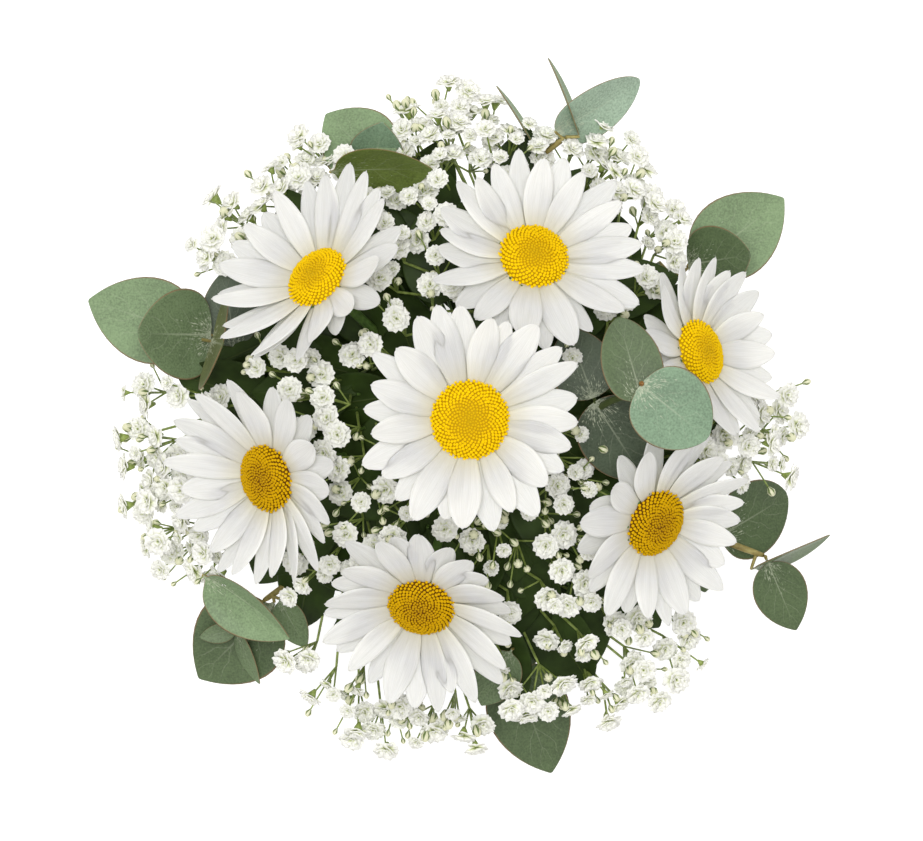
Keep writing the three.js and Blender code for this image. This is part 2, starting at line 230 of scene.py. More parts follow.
def blade(outline, columns, length, width, section=()):
    """A flat blade along +X. Its outline has a row of points for each (along, across) share,
    and its section lifts the columns at these shares of its width by these shares of it."""
    bpy.ops.object.select_all(action="DESELECT")
    rows = len(outline) - 1
    bpy.ops.mesh.primitive_grid_add(
        x_subdivisions=rows, y_subdivisions=columns, size=1, enter_editmode=True
    )
    bpy.ops.mesh.select_all(action="SELECT")
    bpy.ops.transform.translate(value=(0.5, 0, 0))
    for across, lift in section:
        pick(lambda spot: abs(abs(spot.y) - across) < 0.02)
        bpy.ops.transform.translate(value=(0, 0, lift))
    for row, (along, share) in reversed(list(enumerate(outline))):
        pick(lambda spot: abs(spot.x - row / rows) < 0.002)
        bpy.ops.transform.resize(value=(1, share, share), center_override=(0, 0, 0))
        bpy.ops.transform.translate(value=(along - row / rows + 3, 0, 0))
    bpy.ops.mesh.select_all(action="SELECT")
    bpy.ops.transform.translate(value=(-3, 0, 0))
    bpy.ops.transform.resize(value=(length, width, width), center_override=(0, 0, 0))
    bpy.ops.object.mode_set(mode="OBJECT")
    return bpy.context.object


def curled(piece, bend, twist=0):
    """Curls a blade up along its length by an angle, and twists it about that length."""
    on_edge = Matrix.Rotation(radians(90), 4, "X")
    piece.data.transform(on_edge)
    bending = {"deform_method": "BEND", "deform_axis": "Z", "angle": radians(bend)}
    turning = {"deform_method": "TWIST", "deform_axis": "X", "angle": radians(twist)}
    finished(piece, ("SIMPLE_DEFORM", bending), ("SIMPLE_DEFORM", turning))
    piece.data.transform(on_edge.inverted())
    return piece


def copied(piece):
    copy = bpy.data.objects.new(piece.name, piece.data.copy())
    bpy.context.collection.objects.link(copy)
    return copy


def gathered(name, placed):
    """One piece from copies of finished meshes, each given with its place."""
    copies = []
    for mesh, place in placed:
        copy = bpy.data.objects.new(name, mesh.copy())
        copy.data.transform(place)
        bpy.context.collection.objects.link(copy)
        copies.append(copy)
    alone(*copies)
    bpy.ops.object.join()
    copies[0].name = name
    bpy.ops.object.shade_smooth()
    return copies[0]


def moved(place):
    return Matrix.Translation(place)


def turned(axis, angle):
    return Matrix.Rotation(radians(angle), 4, axis)


def flower_place(name):
    """Where a flower sits and faces: on the underside of its CAD disc, which leans outwards."""
    daisy = DAISIES[name]
    azimuth = daisy["azimuth"]
    facing = turned("Z", azimuth) @ turned("Y", daisy["tilt"]) @ turned("Z", -azimuth)
    normal = facing @ Vector((0, 0, 1))
    points = [vertex.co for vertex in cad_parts[name + "_disc"].data.vertices]
    middle = sum(points, Vector()) / len(points)
    underside = min(point.dot(normal) for point in points)
    return moved(middle + normal * (underside - middle.dot(normal))) @ facing


def rounded_stem(node, name):
    """A smooth copy of a CAD stem that keeps its cut end flat."""
    stem = bpy.data.objects.new(name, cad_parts[node].data.copy())
    bpy.context.collection.objects.link(stem)
    stem.data.materials.clear()
    alone(stem)
    bpy.ops.object.mode_set(mode="EDIT")
    bpy.ops.mesh.select_all(action="SELECT")
    bpy.ops.mesh.remove_doubles(threshold=WELD)
    pick(lambda spot: spot.z < CUT_END)
    bpy.ops.transform.edge_crease(value=1)
    bpy.ops.object.mode_set(mode="OBJECT")
    finished(stem, smoothing(1))
    return stem


STEM_GREEN = stem_finish()
bract = curled(blade(BRACT_OUTLINE, 2, BRACT_LENGTH, BRACT_WIDTH, BRACT_CREASE), BRACT_CURL)
finished(bract, ("SOLIDIFY", {"thickness": BRACT_THICKNESS, "offset": 0}))

for name, daisy in DAISIES.items():
    place = flower_place(name)
    bare_stem = rounded_stem(name + "_stem", name + "_bare_stem")
    parts = [(bare_stem.data, Matrix())]
    for row, (reach, depth, lean) in enumerate(BRACT_ROWS):
        for i in range(BRACTS_IN_ROW):
            around = turned("Z", (i + row / 2) * 360 / BRACTS_IN_ROW)
            out = reach * daisy["disc"] / BRACT_DISC * MM
            seat = moved((out, 0, -depth * MM)) @ turned("Y", -lean)
            parts.append((bract.data, place @ around @ seat))
    stem = gathered(name + "_green_stem", parts)
    stem.data.materials.append(STEM_GREEN)
    discard(bare_stem)
    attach(stem, "root")
    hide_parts(name + "_stem")
discard(bract)


# Ray florets
# The white petals: strap-shaped florets with two grooves and a toothed tip, in two layers
# round the rim of the disc. Each curls and twists a little differently.

RAY_OUTLINE = [
    (0, 0.44), (0.09, 0.55), (0.2, 0.73), (0.33, 0.9), (0.45, 0.99), (0.56, 1),
    (0.69, 0.91), (0.82, 0.7), (0.92, 0.45), (0.98, 0.22), (1, 0.06),
]
RAY_SECTION = [(0, 0.025), (1 / 6, -0.045), (1 / 3, 0.02), (0.5, -0.03)]
RAY_WIDTH = 10.2
RAY_SHAPE_WIDTH = 0.38
RAY_LENGTHS = (0.88, 1.1)
RAY_WIDTHS = (0.78, 1.08)
RAY_THICKNESS = 0.16 * MM
RAY_CURLS = [(-14, 3), (-18, -6), (-10, 8), (-24, -3), (-6, 5), (-16, -12), (-20, 10)]
RAY_FOOT = 2.6
RAY_HEIGHT = 1.4
RAY_RISE = 19
RAY_ROLL = 5
LAYER_GAP = 0.6
LAYER_DROOP = 5


def ray_finish():
    white = Finish("ray_white", 0.5, Specular_IOR_Level=0.25, Subsurface_Weight=0.5)
    white.shader["Subsurface Radius"].default_value = (2.6 * MM, 2.5 * MM, 2 * MM)
    white.shader["Subsurface Scale"].default_value = 1
    along, across = white.along_and_across()
    grain = white.node("CombineXYZ", {}, {"X": along * 0.6, "Y": across * 9})
    veins = white.mottle(grain, 3.2, 3)
    throat = 1 - white.step(along, 0.05, 0.42)
    patches = white.mottle(white.place(), 55)
    petal = white.colours(
        veins,
        (0.3, (0.79, 0.785, 0.735)),
        (0.7, (0.91, 0.905, 0.86)),
    )
    tinted = white.over(throat * (0.25 + patches * 0.6), petal, (0.76, 0.68, 0.34, 1))
    white.feed(white.shader["Base Color"], tinted)
    white.raised(veins, 0.55, 0.4 * MM)
    return white.material


def ray_shapes():
    """One ray floret modelled flat, then curled and twisted in several ways."""
    flat = blade(RAY_OUTLINE, 6, 1, RAY_SHAPE_WIDTH, RAY_SECTION)
    bpy.ops.object.mode_set(mode="EDIT")
    for notch in (-1, 1):
        pick(lambda spot: spot.x > 0.99 and 0.005 < spot.y * notch < 0.02)
        bpy.ops.transform.translate(value=(-0.02, 0, 0))
    bpy.ops.object.mode_set(mode="OBJECT")
    finished(flat, smoothing(1))
    flat.data.materials.append(RAY_WHITE)
    shapes = [curled(copied(flat), bend, twist) for bend, twist in RAY_CURLS]
    discard(flat)
    return shapes


RAY_WHITE = ray_finish()
shapes = ray_shapes()

for number, (name, daisy) in enumerate(DAISIES.items()):
    chance = Random(10 + number)
    foot = daisy["disc"] - RAY_FOOT
    parts = []
    for i in range(daisy["rays"]):
        layer = i % 2
        length = (daisy["reach"] - foot) * chance.uniform(*RAY_LENGTHS)
        width = RAY_WIDTH * chance.uniform(*RAY_WIDTHS) / RAY_SHAPE_WIDTH
        size = Matrix.Diagonal((length * MM, width * MM, width * MM, 1))
        azimuth = (i + chance.uniform(-0.2, 0.2)) * 360 / daisy["rays"]
        roll = turned("X", RAY_ROLL + chance.uniform(-5, 5))
        # The petals on the upper side of a flower that leans out flop back and lie flatter.
        inner = max(0, -cos(radians(azimuth - daisy["azimuth"])))
        droop = daisy["flop"] * inner - RAY_RISE + LAYER_DROOP * layer - chance.uniform(-4, 4)
        seat = moved((foot * MM, 0, (RAY_HEIGHT - LAYER_GAP * layer) * MM))
        place = turned("Z", azimuth) @ seat @ turned("Y", droop) @ roll @ size
        parts.append((chance.choice(shapes).data, place))
    rays = gathered(name + "_petals", parts)
    rays.data.transform(flower_place(name))
    finished(rays, ("SOLIDIFY", {"thickness": RAY_THICKNESS, "offset": 0}))
    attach(rays, "root")
    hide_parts(name + "_rays")
discard(*shapes)


# Disc florets
# The yellow centre: hundreds of tiny tubular florets packed in two sets of spirals on a low
# dome. Those near the rim are open, and those in the middle are still closed and flatter.

GOLDEN_TURN = 137.508
DISC_FLOOR = 1.6
DISC_RISE = 3.9
# The dome's height falls as the root of 1 - this * share squared, and dips in the middle.
DISC_FALL = 0.93
DISC_DIP = 0.5
DISC_RIM = 0.95
DOME_SINK = 0.3
FLORET_AREA = 0.92
TUBE_RADIUS = 0.51
TUBE_HEIGHT = 1.3
TUBE_SINK = 0.9
TUBE_JITTER = 0.12
RIM_LEAN = 70
OPEN_MOUTH = -0.5
CLOSED_MOUTH = 0.25
OPEN_FROM = 0.55
CLOSED_SIZE = 0.86
# Measured against a height this great, the whole dome takes the painted shade of the gaps.
GAP_SHADE_HEIGHT = 1000


def floret_finish(name, brightness, greenness, gap_shade_colour):
    yellow = Finish("disc_" + name, 0.7, Specular_IOR_Level=0.08)
    reach, height = yellow.along_and_across()
    patches = yellow.mottle(yellow.place(), 700)
    top = yellow.colours(
        reach + (patches - 0.5) * 0.25,
        (0, (0.58, 0.34, 0.003)),
        (0.4, (0.7, 0.42, 0.002)),
        (0.7, (0.84, 0.53, 0.001)),
        (1, (0.86, 0.55, 0.001)),
    )
    shade = (brightness, greenness * brightness, brightness)
    top = yellow.node("VectorMath", {"operation": "MULTIPLY"}, {0: top, 1: shade})
    # Painted shade: low on each floret, and all over the dome between them, the colour turns to the
    # dark gap colour, as the shade that falls between the florets.
    depth = 1 - yellow.step(height, 0.3, 0.95)
    coloured = yellow.over(depth, top, (*gap_shade_colour, 1))
    yellow.feed(yellow.shader["Base Color"], coloured)
    yellow.raised(patches, 0.3, 0.2 * MM)
    return yellow.material


def floret_shape(radius, height, mouth):
    """A six-sided tube that widens to a rounded top, with its mouth pushed in or out."""
    bpy.ops.object.select_all(action="DESELECT")
    bpy.ops.mesh.primitive_cylinder_add(
        vertices=6, radius=radius * MM, depth=height * MM, enter_editmode=True
    )
    bpy.ops.transform.translate(value=(0, 0, height / 2 * MM))
    pick(lambda spot: spot.z < 0.01 * MM)
    bpy.ops.transform.resize(value=(0.75, 0.75, 1), center_override=(0, 0, 0))
    pick(lambda spot: spot.z > 0.9 * height * MM)
    bpy.ops.mesh.inset(thickness=0.35 * radius * MM)
    bpy.ops.transform.translate(value=(0, 0, 0.2 * radius * MM))
    bpy.ops.mesh.inset(thickness=0.25 * radius * MM)
    bpy.ops.transform.translate(value=(0, 0, mouth * radius * MM))
    bpy.ops.object.mode_set(mode="OBJECT")
    floret = bpy.context.object
    floret.data.materials.append(DISC_YELLOW)
    return floret


def floret_seats(disc, chance):
    """Places on the dome for florets, closest to the middle first, with their share of reach."""
    count = int(pi * disc**2 / FLORET_AREA)
    for i in range(count):
        share = sqrt((i + 0.5) / count)
        height = DISC_FLOOR + DISC_RISE * sqrt(1 - DISC_FALL * share**2)
        height -= DISC_DIP * (1 - share) ** 2
        lean = RIM_LEAN * share**3
        reach = (share * DISC_RIM * disc + chance.uniform(-TUBE_JITTER, TUBE_JITTER)) * MM
        aside = chance.uniform(-TUBE_JITTER, TUBE_JITTER) * MM
        seat = moved((reach, aside, (height - TUBE_SINK) * MM))
        yield share, turned("Z", i * GOLDEN_TURN) @ seat @ turned("Y", lean)


def marked(mesh, share, height):
    """A copy of a floret whose UV map says how far out it stands and how high each point is."""
    copy = mesh.copy()
    for corner, spot in zip(copy.loops, copy.uv_layers[0].data):
        spot.uv = (share, copy.vertices[corner.vertex_index].co.z / (height * MM))
    return copy


# The last colour given to each disc finish is the painted shade in the gaps between florets.
DISC_YELLOW = floret_finish("yellow", 1.03, 1.06, (0.5, 0.31, 0.002))
DISC_GOLD = floret_finish("gold", 0.74, 0.93, (0.13, 0.05, 0.001))
open_floret = floret_shape(TUBE_RADIUS, TUBE_HEIGHT, OPEN_MOUTH)
closed_floret = floret_shape(TUBE_RADIUS, TUBE_HEIGHT, CLOSED_MOUTH)

for number, (name, daisy) in enumerate(DAISIES.items()):
    chance = Random(40 + number)
    bpy.ops.object.select_all(action="DESELECT")
    bpy.ops.mesh.primitive_uv_sphere_add(
        segments=28, ring_count=12, radius=daisy["disc"] * MM, enter_editmode=True
    )
    bpy.ops.mesh.select_all(action="SELECT")
    bpy.ops.transform.resize(value=(1, 1, DISC_RISE / daisy["disc"]), center_override=(0, 0, 0))
    bpy.ops.transform.translate(value=(0, 0, (DISC_FLOOR - DOME_SINK) * MM))
    bpy.ops.object.mode_set(mode="OBJECT")
    dome = bpy.context.object
    dome.data.materials.append(DISC_YELLOW)
    parts = [(marked(dome.data, 1, GAP_SHADE_HEIGHT), Matrix())]
    for share, seat in floret_seats(daisy["disc"], chance):
        is_open = share > OPEN_FROM + chance.uniform(-0.05, 0.05)
        mesh = (open_floret if is_open else closed_floret).data
        size = chance.uniform(0.92, 1.1) * (1 if is_open else CLOSED_SIZE)
        turn = turned("Z", chance.uniform(0, 60)) @ Matrix.Scale(size, 4)
        parts.append((marked(mesh, share, TUBE_HEIGHT), seat @ turn))
    disc = gathered(name + "_florets", parts)
    discard(dome)
    disc.data.transform(flower_place(name))
    disc.data.materials[0] = DISC_GOLD if daisy["ripe"] else DISC_YELLOW
    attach(disc, "root")
    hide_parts(name + "_disc")
discard(open_floret, closed_floret)


# Eucalyptus twigs
# Slender twigs of wood that curve out from the tie to the rim of the bunch and carry the
# leaves in pairs. The bark is tan towards the rim and painted dark green as shade inside the bunch.

SPRIGS = [
    "left", "top_left", "top", "top_right", "inner", "right", "bottom", "bottom_left",
]
RING_REACH = 4 * MM
CURVE_STEPS = 5
STALK_SAG = 1.5 * MM
STALK_RADII = (0.65, 0.5)


def twig_finish():
    bark = Finish("eucalyptus_bark", 0.55, Specular_IOR_Level=0.35)
    spot = bark.place()
    grain = bark.mottle(bark.node("Mapping", {}, {"Vector": spot, "Scale": (1, 1, 0.1)}), 700, 3)
    flat_spot = bark.node("VectorMath", {"operation": "MULTIPLY"}, {0: spot, 1: (1, 1, 0)})
    reach = bark.node("VectorMath", {"operation": "LENGTH"}, {0: flat_spot}, "Value")
    # Painted shade: the bark is dark green within 60 mm of the middle, where the bunch shades it,
    # and turns tan from there to 85 mm out.
    out_of_painted_shade = bark.step(reach, 60 * MM, 85 * MM)
    tan = bark.colours(
        grain * 0.5 + bark.mottle(spot, 45) * 0.5,
        (0.35, (0.16, 0.11, 0.035)),
        (0.5, (0.3, 0.24, 0.075)),
        (0.65, (0.42, 0.36, 0.13)),
    )
    bark.feed(bark.shader["Base Color"], bark.over(out_of_painted_shade, (0.06, 0.085, 0.02, 1), tan))
    bark.raised(grain, 0.5, 0.3 * MM)
    return bark.material


def wires(name, lines, finish):
    """Round twigs along lines of points, each point with its radius in millimetres."""
    curve = bpy.data.curves.new(name, "CURVE")
    curve.dimensions = "3D"
    curve.bevel_depth = MM
    curve.bevel_resolution = 1
    curve.use_fill_caps = True
    for line in lines:
        spline = curve.splines.new("POLY")
        spline.points.add(len(line) - 1)
        for point, (place, radius) in zip(spline.points, line):
            point.co = (*place, 1)
            point.radius = radius
    twigs = bpy.data.objects.new(name, curve)
    bpy.context.collection.objects.link(twigs)
    alone(twigs)
    bpy.ops.object.convert(target="MESH")
    twigs.data.materials.append(finish)
    return twigs


def stem_rings(node, top):
    """The middle of each ring of points up a CAD stem, from its foot to that height."""
    rings = []
    for vertex in sorted(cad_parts[node].data.vertices, key=lambda v: v.co.z):
        if vertex.co.z > top:
            break
        near = [ring for ring in rings if (ring[0] - vertex.co).length < RING_REACH]
        if near:
            near[0].append(vertex.co.copy())
        else:
            rings.append([vertex.co.copy()])
    return [sum(ring, Vector()) / len(ring) for ring in rings]


def bowed(start, middle, end, thick, thin):
    """Points on a smooth curve that leaves start towards middle and then turns to end."""
    points = []
    for step in range(CURVE_STEPS + 1):
        share = step / CURVE_STEPS
        place = start.lerp(middle, share).lerp(middle.lerp(end, share), share)
        points.append((place, thick + (thin - thick) * share))
    return points


def stalk_to(twig_line, base):
    """A short leaf stalk from the base of a blade to the closest point of its twig."""
    closest = None
    for start, end in zip(twig_line, twig_line[1:]):
        share = intersect_point_line(base, start, end)[1]
        place = start.lerp(end, min(1, max(0, share)))
        if closest is None or (place - base).length < (closest - base).length:
            closest = place
    middle = base.lerp(closest, 0.5) - Vector((0, 0, STALK_SAG))
    return bowed(closest, middle, base, *STALK_RADII)


TWIG_BARK = twig_finish()
twig_lines = {}
for sprig in SPRIGS:
    stem = f"eucalyptus_{sprig}_stem"
    twig_lines[sprig] = stem_rings(stem, 1)
    twig = rounded_stem(stem, f"eucalyptus_{sprig}_twig")
    bpy.ops.object.shade_smooth()
    twig.data.materials.append(TWIG_BARK)
    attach(twig, "root")
    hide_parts(stem)


# Eucalyptus leaves
# Stiff waxy blades in pairs on the twigs, round to oval with a small point. Grey-green with
# a pale bloom, a thin tan rim, and pale veins that spread from the stalk.

LEAF_OUTLINE = [
    (0, 0.045), (0.05, 0.05), (0.065, 0.3), (0.1, 0.54), (0.18, 0.78), (0.3, 0.95),
    (0.44, 1), (0.59, 0.92), (0.74, 0.72), (0.87, 0.44), (0.955, 0.18), (1, 0.02),
]
ROUND_OUTLINE = [
    (0, 0.16), (0.02, 0.4), (0.06, 0.63), (0.12, 0.79), (0.21, 0.92), (0.33, 0.99),
    (0.46, 1), (0.6, 0.93), (0.74, 0.78), (0.87, 0.54), (0.96, 0.27), (1, 0.05),
]
ROUND_LEAVES = ("round", "under", "back", "low", "upper", "near", "broad")
ROLLED_LEAF = "rolled"
ROLLED_CUP = 4
LEAF_SECTION = [(0, -0.02), (1 / 8, 0), (2 / 8, 0.01), (3 / 8, 0.03), (4 / 8, 0.06)]
LEAF_THICKNESS = 0.45 * MM
# Painted shade and light: the deep and dusky tones are darker copies of the leaf colour, for leaves
# low in the bunch and for leaves turned from the lamp; the olive tone is a yellow-green painted
# lighter, as light, for a leaf that faces away from the lamp.
LEAF_TONES = {
    "sage": (0.2, 0.285, 0.15),
    "pale": (0.33, 0.44, 0.33),
    "mint": (0.2, 0.3, 0.195),
    "grey": (0.13, 0.185, 0.09),
    "deep": (0.085, 0.125, 0.055),
    "dusky": (0.075, 0.1, 0.064),
    "olive": (0.13, 0.18, 0.035),
    "brown": (0.115, 0.135, 0.05),
}

END_BUD_RADIUS = 0.85 * MM
END_BUD_TIP = (0.7, 0.7, 1.3)
END_BUD_SHIFT = (0.3, 0.3, 0.9)

# Each CAD leaf: heading, pitch, roll, length, width, curl, tone, and how far along X, along Y
# and upwards the middle of the blade is from the middle of its CAD box
LEAVES = {
    "left_leaf_edge": (344, 66, 0, 24, 34, -20, "brown", -1, 1, 18),
    "left_leaf_under": (288, -2, -16, 25, 24, 10, "dusky", 3, 0, -8),
    "left_leaf_round": (180, 40, 0, 28, 31, 12, "grey", 6.5, 0.9, 2),
    "left_leaf_outer": (162, -6, 0, 42, 30, 10, "sage", 2.6, 0, 0),
    "top_left_leaf_front": (4, 3, 56, 34, 27, -8, "olive", -1.1, -1, 12),
    "top_left_leaf_outer": (137, -10, 0, 31, 27, 12, "sage", 3, -2.5, 0),
    "top_leaf_short": (118, 5, 80, 27, 13, 8, "sage", 2, -1.4, 0),
    "top_leaf_tall": (107, 5, 80, 28, 15, 10, "sage", 3, -1.7, 0),
    "top_leaf_broad": (27, -5, 45, 34, 21, 14, "pale", -3.8, 1, 0),
    "top_right_leaf_round": (8, 38, 0, 24, 24, 10, "deep", -2, 0, 0),
    "top_right_leaf_outer": (38, -5, 0, 41, 29, 12, "sage", -2, -1.9, 0),
    "inner_leaf_back": (110, -5, 0, 24, 21, 8, "dusky", -0.6, 0, -2),
    "inner_leaf_low": (304, -14, 0, 31, 25, 8, "dusky", -2.8, 2.3, 0),
    "inner_leaf_upper": (106, -4, 0, 27.5, 19.5, 10, "deep", -1.9, -4.2, 2),
    "inner_leaf_near": (322, -9, 0, 28, 26.5, 8, "mint", -4.2, 1.5, 4.5),
    "right_leaf_back": (27, -20, 20, 31, 27, 12, "deep", -1, 0, 0),
    "right_leaf_edge": (19, 4, 74, 29, 20, 10, "grey", -4, -1.5, 0),
    "right_leaf_hanging": (294, -12, 0, 28, 19, 10, "deep", -0.8, 0.6, 0),
    "bottom_leaf_back": (300, 2, 0, 24, 20, 8, "dusky", -10, -3, 6),
    "bottom_leaf_outer": (290, -5, 0, 43, 29, 12, "deep", -2.6, 1, 0),
    "bottom_left_leaf_outer": (225, -8, 0, 38, 33, 10, "deep", 0, -3, 0),
    "bottom_left_leaf_rolled": (328, 0, 40, 36, 22, -12, "sage", -2, 2.4, 4),
}


def leaf_finish(name, tone):
    """A waxy leaf of that tone, with its bloom in soft patches and fine specks."""
    leaf = Finish("eucalyptus_leaf_" + name, 0.5, Specular_IOR_Level=0.35)
    along, across = leaf.along_and_across()
    spot = leaf.place()
    from_rib = abs(across - 0.5)
    patches = leaf.mottle(spot, 60, 3)
    specks = leaf.mottle(spot, 1500, 1)
    body = leaf.colours(
        patches * 0.45 + specks * 0.55,
        (0.36, tuple(0.74 * part for part in tone)),
        (0.5, tone),
        (0.64, tuple(1.2 * part for part in tone)),
    )
    # Side veins leave the midrib at a slant, wander, and fade towards the rim and the tip.
    wander = leaf.mottle(spot, 160) * 0.12
    slant = along - from_rib * 0.55 + wander
    stripe = abs(leaf.maths("FRACT", slant * 8) - 0.5)
    side_veins = (1 - leaf.step(stripe, 0.0, 0.06)) * (1 - leaf.step(from_rib, 0.2, 0.44))
    midrib = 1 - leaf.step(from_rib, 0.003, 0.016)
    # Pale fuzzy streaks spread like a star from the stalk; the blade widens as the root of along.
    aside = (across - 0.5) * (leaf.maths("SQRT", along) * 2 + 0.16)
    distance = leaf.maths("SQRT", along * along + aside * aside)
    angle = leaf.maths("ARCTAN2", aside, along + 0.01)
    streaks = leaf.mottle(leaf.node("CombineXYZ", {}, {"X": angle * 4, "Y": distance * 2}), 5, 4)
    fuzz = leaf.mottle(spot, 1100, 2)
    star = leaf.step(streaks * 0.65 + fuzz * 0.35 - distance * 0.42, 0.35, 0.48)
    veins = leaf.maths("MAXIMUM", midrib * (1 - leaf.step(along, 0.2, 0.9)) * 0.4, side_veins * 0.1)
    veins = leaf.maths("MAXIMUM", veins, star * 0.65)
    veined = leaf.over(veins, body, (0.6, 0.64, 0.48, 1))
    rim = leaf.step(from_rib, 0.472, 0.49)
    leaf.feed(leaf.shader["Base Color"], leaf.over(rim * 0.8, veined, (0.24, 0.14, 0.07, 1)))
    leaf.feed(leaf.shader["Roughness"], 0.42 + patches * 0.2)
    leaf.raised(veins * 0.8 + specks * 0.15, 0.4, 0.5 * MM)
    return leaf.material


def mottled_finish(name, scale, strength, *stops):
    """A plain finish with patches of those colours, the lighter ones raised."""
    plain = Finish(name, 0.5)
    patches = plain.mottle(plain.place(), scale)
    plain.feed(plain.shader["Base Color"], plain.colours(patches, *stops))
    plain.raised(patches, strength, 0.2 * MM)
    return plain.material


def leaf(length, width, curl, finish, outline=LEAF_OUTLINE, cup=1):
    section = [(across, cup * lift) for across, lift in LEAF_SECTION]
    made = blade(outline, 8, length * MM, width * MM, section)
    made.data.materials.append(finish)
    curled(made, curl)
    thick = ("SOLIDIFY", {"thickness": LEAF_THICKNESS, "offset": 0})
    finished(made, thick, smoothing(1))
    bpy.ops.object.shade_smooth()
    return made


def held(heading, pitch, roll):
    return turned("Z", heading) @ turned("Y", -pitch) @ turned("X", roll)


def box_middle(corners):
    low, high = corners
    return (low + high) / 2


def mesh_box(mesh):
    places = [vertex.co for vertex in mesh.vertices]
    low = Vector([min(place[i] for place in places) for i in range(3)])
    high = Vector([max(place[i] for place in places) for i in range(3)])
    return low, high


LEAF_FINISHES = {name: leaf_finish(name, tone) for name, tone in LEAF_TONES.items()}
bases = {}
for name, (heading, pitch, roll, length, width, curl, tone, x, y, z) in LEAVES.items():
    node = "eucalyptus_" + name
    sprig, kind = name.split("_leaf_")
    outline = ROUND_OUTLINE if kind in ROUND_LEAVES else LEAF_OUTLINE
    cup = ROLLED_CUP if kind == ROLLED_LEAF else 1
    flat = leaf(length, width, curl, LEAF_FINISHES[tone], outline, cup)
    flat.data.transform(held(heading, pitch, roll))
    base = box_middle(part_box(node)) - box_middle(mesh_box(flat.data)) + Vector((x, y, z)) * MM
    flat.data.transform(moved(base))
    bases[name] = base
    stalk = wires("stalk", [stalk_to(twig_lines[sprig], base)], TWIG_BARK)
    whole = [(flat.data, Matrix()), (stalk.data, Matrix())]
    piece = gathered(node.replace("_leaf_", "_blade_"), whole)
    discard(flat, stalk)
    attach(piece, "root")
    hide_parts(node)


# The end bud of the inner twig shows as a tan dot where its leaf pair meets.
bpy.ops.object.select_all(action="DESELECT")
bpy.ops.mesh.primitive_uv_sphere_add(
    segments=10, ring_count=8, radius=END_BUD_RADIUS, enter_editmode=True
)
pick(lambda spot: spot.z > 0)
bpy.ops.transform.resize(value=END_BUD_TIP, center_override=(0, 0, 0))
bpy.ops.object.mode_set(mode="OBJECT")
end_bud = bpy.context.object
bud_tan = ((0.3, (0.12, 0.045, 0.01)), (0.7, (0.42, 0.2, 0.04)))
end_bud.data.materials.append(mottled_finish("eucalyptus_end_bud", 1200, 0.4, *bud_tan))
meeting = bases["inner_leaf_near"] + Vector(END_BUD_SHIFT) * MM
bud_piece = gathered("eucalyptus_inner_end_bud", [(end_bud.data, moved(meeting))])
discard(end_bud)
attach(bud_piece, "root")


# Small and lower leaves
# Most sprigs also have small leaves near their ends. Leaves painted dark as shade, on
# stalks of their own and held in the tie with the stems, fill the inside of the bunch under
# the flowers.

# The dome under the flowers: how far its top is below the middle rays, and its radius there
CROWN = 6
DOME_RADIUS = 78
AXIS = box_middle(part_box("daisy_centre_disc"))
RAY_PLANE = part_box("daisy_centre_disc")[0].z / MM


def dome_height(reach):
    return RAY_PLANE - CROWN - reach**2 / (2 * DOME_RADIUS)


def under_dome(x, y, depth):
    """A place beside the bunch's axis and that far below the dome of flowers."""
    height = dome_height(sqrt(x**2 + y**2)) - depth
    return Vector((AXIS.x + x * MM, AXIS.y + y * MM, height * MM))


# x, y, depth below the dome, heading, pitch, roll, length, width, tone
SMALL_LEAVES = {
    "left": [(-78.6, 23.5, 30, 98, 6, 0, 27, 20, "dusky")],
    "top_left": [
        (-32, 85, 24, 78, 50, 0, 20, 19, "mint"),
        (-27.4, 77.8, 36, 330, -4, 0, 22, 20, "dusky"),
    ],
    "top_right": [(64.1, 53.3, 34, 240, -4, 0, 22, 20, "dusky")],
    "right": [(78, -48, 26, 280, -10, 0, 11, 9, "deep")],
    "bottom": [
        (14, -76, 20, 242, -6, 0, 22, 16, "grey"),
        (14, -83, 32, 60, 6, 0, 16, 14, "deep"),
    ],
    "bottom_left": [
        (-78.3, -70.6, 6, 192, 4, 0, 13, 7, "grey"),
        (-78.3, -70.6, 6, 288, 2, 50, 20, 9, "grey"),
        (-63.8, -59.8, 22, 297, 2, 20, 19, 12, "grey"),
    ],
}
# Each ring of lower leaves: how far out, how far below the dome, how many
LOWER_RINGS = [(10, 52, 9), (24, 48, 16), (38, 44, 22), (52, 40, 26), (64, 40, 26), (36, 66, 14)]
LOWER_LEAF = (36, 23)
LOWER_CURL = 14
SMALL_CURL = 12
RING_TURN = 20
BUNDLE_REACH = 10 * MM
STALK_SPIN = -40
STALK_ABOVE_TIE = 1 * MM
LOWER_STALK_RADII = (0.6, 0.45)
# The bend of a lower stalk: its share of the way out and of the way up
STALK_BEND = (0.4, 0.6)
SHADE_GREEN = (0.028, 0.05, 0.009)


def shade_finish():
    """The lower leaves inside the bunch: painted dark as shade, with no bloom and hardly a vein."""
    shade = Finish("shaded_leaf", 0.5, Specular_IOR_Level=0.15)
    along, across = shade.along_and_across()
    patches = shade.mottle(shade.place(), 90, 3)
    midrib = 1 - shade.step(abs(across - 0.5), 0.004, 0.02)
    body = shade.colours(
        patches,
        (0.3, tuple(0.6 * part for part in SHADE_GREEN)),
        (0.7, tuple(1.5 * part for part in SHADE_GREEN)),
    )
    veined = shade.over(midrib * 0.3, body, (0.1, 0.13, 0.03, 1))
    shade.feed(shade.shader["Base Color"], veined)
    shade.raised(midrib + patches * 0.4, 0.4, 0.5 * MM)
    return shade.material


